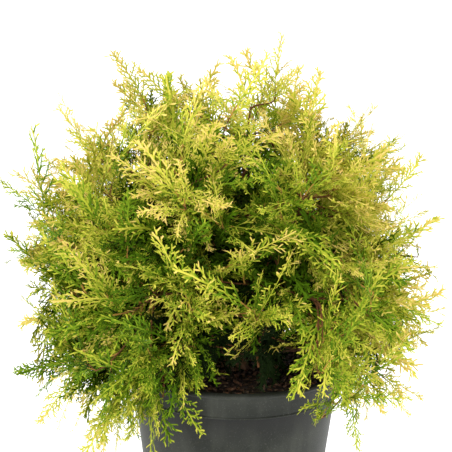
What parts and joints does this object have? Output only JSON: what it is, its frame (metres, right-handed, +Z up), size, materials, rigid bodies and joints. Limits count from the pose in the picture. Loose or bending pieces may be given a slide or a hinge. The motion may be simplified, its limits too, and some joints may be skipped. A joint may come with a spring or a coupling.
{
  "type": "potted arborvitae shrub",
  "caption": "Golden globe-shaped eastern arborvitae with dense, fan-like sprays of scale leaves, growing in a round plastic nursery pot.",
  "frame": {"origin": "middle of the pot's flat underside, at ground level", "axes": "+Z up along the pot's axis, -Y towards the viewer of the picture, +X to the right in the picture"},
  "size_m": [0.3993, 0.3872, 0.4355],
  "materials": {
    "pot_plastic": "matt, dark grey, injection moulded",
    "peat": "rough, near black, moist potting mix",
    "bark": "rough, red-brown, fibrous",
    "foliage": "satin, yellow-green scale leaves"
  },
  "bodies": {
    "root": {"pot": "pot_plastic", "soil": "peat", "trunk": "bark", "bough_top_centre": "bark", "bough_upper_front_left": "bark", "bough_upper_left": "bark", "bough_upper_back": "bark", "bough_upper_right": "bark", "bough_upper_front_right": "bark", "bough_middle_front_left": "bark", "bough_middle_left": "bark", "bough_middle_back_left": "bark", "bough_middle_back_right": "bark", "bough_middle_right": "bark", "bough_middle_front_right": "bark", "bough_lower_front_left": "bark", "bough_lower_left_front": "bark", "bough_lower_left_back": "bark", "bough_lower_back_left": "bark", "bough_lower_back_right": "bark", "bough_lower_right_back": "bark", "bough_lower_right_front": "bark", "bough_lower_front": "bark", "foliage_top_centre": "foliage", "foliage_upper_front_left": "foliage", "foliage_upper_left": "foliage", "foliage_upper_back": "foliage", "foliage_upper_right": "foliage", "foliage_upper_front_right": "foliage", "foliage_middle_front_left": "foliage", "foliage_middle_left": "foliage", "foliage_middle_back_left": "foliage", "foliage_middle_back_right": "foliage", "foliage_middle_right": "foliage", "foliage_middle_front_right": "foliage", "foliage_lower_front_left": "foliage", "foliage_lower_left_front": "foliage", "foliage_lower_left_back": "foliage", "foliage_lower_back_left": "foliage", "foliage_lower_back_right": "foliage", "foliage_lower_right_back": "foliage", "foliage_lower_right_front": "foliage", "foliage_lower_front": "foliage"}
  },
  "joints": []
}
